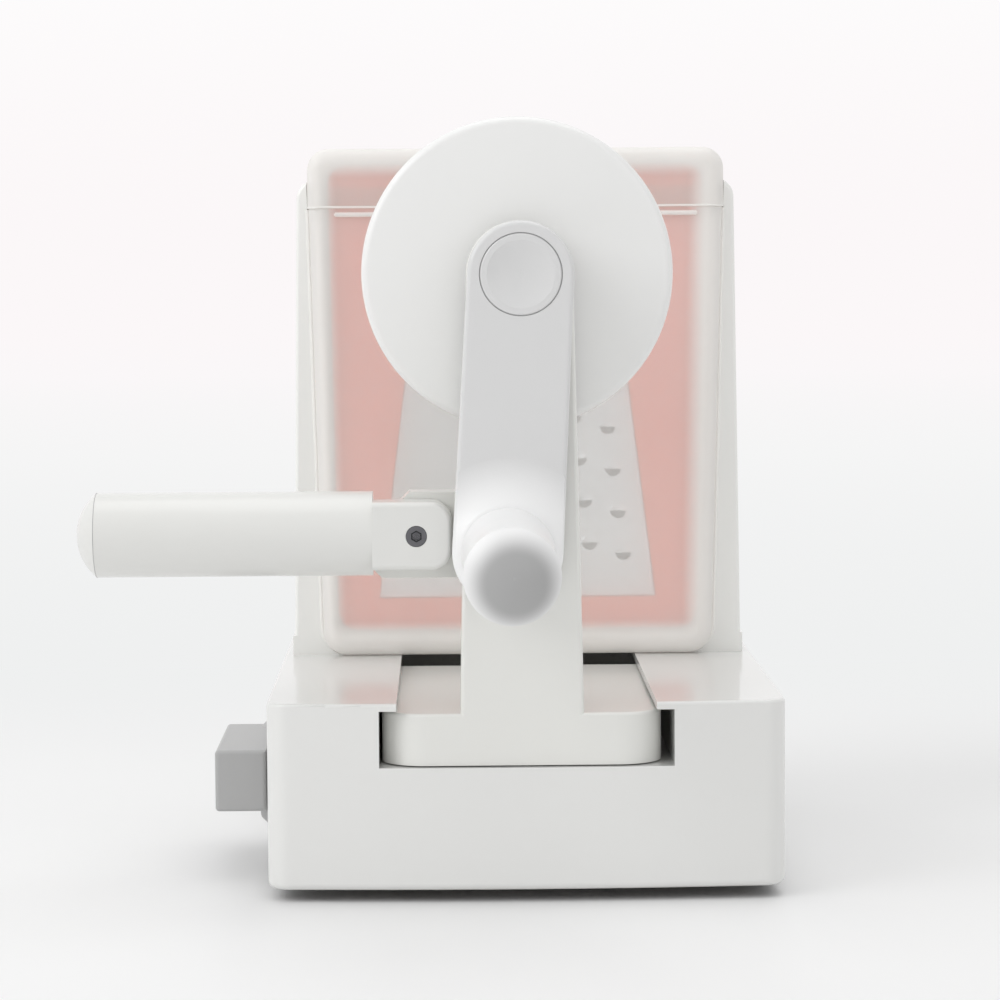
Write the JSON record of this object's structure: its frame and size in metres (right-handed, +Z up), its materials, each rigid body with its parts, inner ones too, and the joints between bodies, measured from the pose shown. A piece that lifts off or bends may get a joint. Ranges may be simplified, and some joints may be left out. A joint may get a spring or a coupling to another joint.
{
  "type": "hand cranked spiralizer",
  "caption": "Hand-cranked vegetable spiralizer: cranked food holder on a sliding carriage, a side handle, a suction base and a tower with a frosted box of cutter plates.",
  "frame": {"origin": "on the table, under the middle of the suction cup and of the base's width", "axes": "+Z up, +Y from the crank end towards the blade tower, +X to the right seen from the crank"},
  "size_m": [0.2069, 0.2804, 0.2294],
  "materials": {
    "white_shell": "gloss",
    "white_arm": "satin",
    "grey_lever": "satin",
    "grey_button": "satin",
    "grip_grey": "satin",
    "frosted": "frosted",
    "frosted_lid": "frosted",
    "orange": "gloss",
    "green": "gloss",
    "blue": "gloss",
    "steel": "brushed",
    "dark_steel": "satin",
    "rubber": "matt",
    "soft_grey": "matt",
    "bearing": "matt"
  },
  "bodies": {
    "base": {"base_housing": "white_shell", "bottom_cover": "white_shell", "rubber_feet": "rubber", "cover_screws": "steel", "tower_frame": "white_shell", "tower_screws": "steel"},
    "lever": {"suction_lever": "grey_lever", "cam_shaft": "steel", "lever_screw": "steel"},
    "sucker": {"plunger": "bearing", "suction_cup": "soft_grey"},
    "carriage": {"carriage_body": "white_shell", "post_cover": "white_shell", "post_screws": "steel", "front_bush": "bearing", "rear_bush": "bearing", "hinge_bracket": "white_shell", "hinge_pin": "dark_steel"},
    "side_handle": {"handle_tongue": "white_shell", "handle_tube": "white_shell", "handle_cap": "grip_grey"},
    "crank": {"crank_shaft": "steel", "crank_arm": "white_arm", "arm_cover": "white_arm", "arm_screws": "steel", "grip_spindle": "steel", "button_spring": "steel"},
    "button": {"release_button": "grey_button", "push_rod": "steel"},
    "grip": {"grip_body": "grip_grey"},
    "holder": {"holder_disc": "white_shell", "holder_prongs": "steel"},
    "box": {"storage_box": "frosted"},
    "lid": {"box_lid": "frosted_lid"},
    "fine_noodle_cutter": {"fine_noodle_plate": "orange", "fine_noodle_blade": "steel", "fine_noodle_corer": "steel"},
    "wide_noodle_cutter": {"wide_noodle_plate": "green", "wide_noodle_blade": "steel", "wide_noodle_corer": "steel"},
    "ribbon_cutter": {"ribbon_plate": "blue", "ribbon_blade": "steel", "ribbon_corer": "steel"}
  },
  "joints": [
    {"name": "suction_lever_turn", "type": "hinge", "parent": "base", "child": "lever", "pos_m": [-0.076, 0, 0.025], "axis": [-1, 0, 0], "range_deg": [0, 90]},
    {"name": "plunger_lift", "type": "slide", "parent": "base", "child": "sucker", "axis": [0, 0, 1], "range_m": [0, 0.002], "deforming": ["suction_cup"]},
    {"name": "carriage_slide", "type": "slide", "parent": "base", "child": "carriage", "axis": [0, 1, 0], "range_m": [0, 0.048]},
    {"name": "handle_fold", "type": "hinge", "parent": "carriage", "child": "side_handle", "pos_m": [-0.0316, -0.075, 0.1073], "axis": [0, 1, 0], "range_deg": [0, 90]},
    {"name": "crank_turn", "type": "hinge", "parent": "carriage", "child": "crank", "pos_m": [-0.0012, -0.0945, 0.1828], "axis": [0, 1, 0], "continuous": true},
    {"name": "release_press", "type": "slide", "parent": "crank", "child": "button", "axis": [0, 1, 0], "range_m": [0, 0.002], "stiffness_N_per_m": 500, "springref_m": -0.002, "deforming": ["button_spring"]},
    {"name": "grip_spin", "type": "hinge", "parent": "crank", "child": "grip", "pos_m": [-0.0054, -0.1, 0.10351], "axis": [0, 1, 0], "continuous": true},
    {"name": "holder_release", "type": "slide", "parent": "crank", "child": "holder", "axis": [0, 1, 0], "range_m": [0, 0.01]},
    {"name": "box_lift", "type": "slide", "parent": "base", "child": "box", "axis": [0, 0, 1], "range_m": [0, 0.16]},
    {"name": "lid_lift", "type": "slide", "parent": "box", "child": "lid", "axis": [0, 0, 1], "range_m": [0, 0.12]},
    {"name": "fine_noodle_lift", "type": "slide", "parent": "box", "child": "fine_noodle_cutter", "axis": [0, 0, 1], "range_m": [0, 0.097]},
    {"name": "wide_noodle_lift", "type": "slide", "parent": "box", "child": "wide_noodle_cutter", "axis": [0, 0, 1], "range_m": [0, 0.067]},
    {"name": "ribbon_lift", "type": "slide", "parent": "box", "child": "ribbon_cutter", "axis": [0, 0, 1], "range_m": [0, 0.037]}
  ],
  "couplings": [
    {"joint": "suction_lever_turn", "follows": "plunger_lift", "rad_per_m": 785.4},
    {"joint": "fine_noodle_lift", "follows": "lid_lift", "ratio": 0.8},
    {"joint": "wide_noodle_lift", "follows": "lid_lift", "ratio": 0.55},
    {"joint": "ribbon_lift", "follows": "lid_lift", "ratio": 0.3}
  ]
}
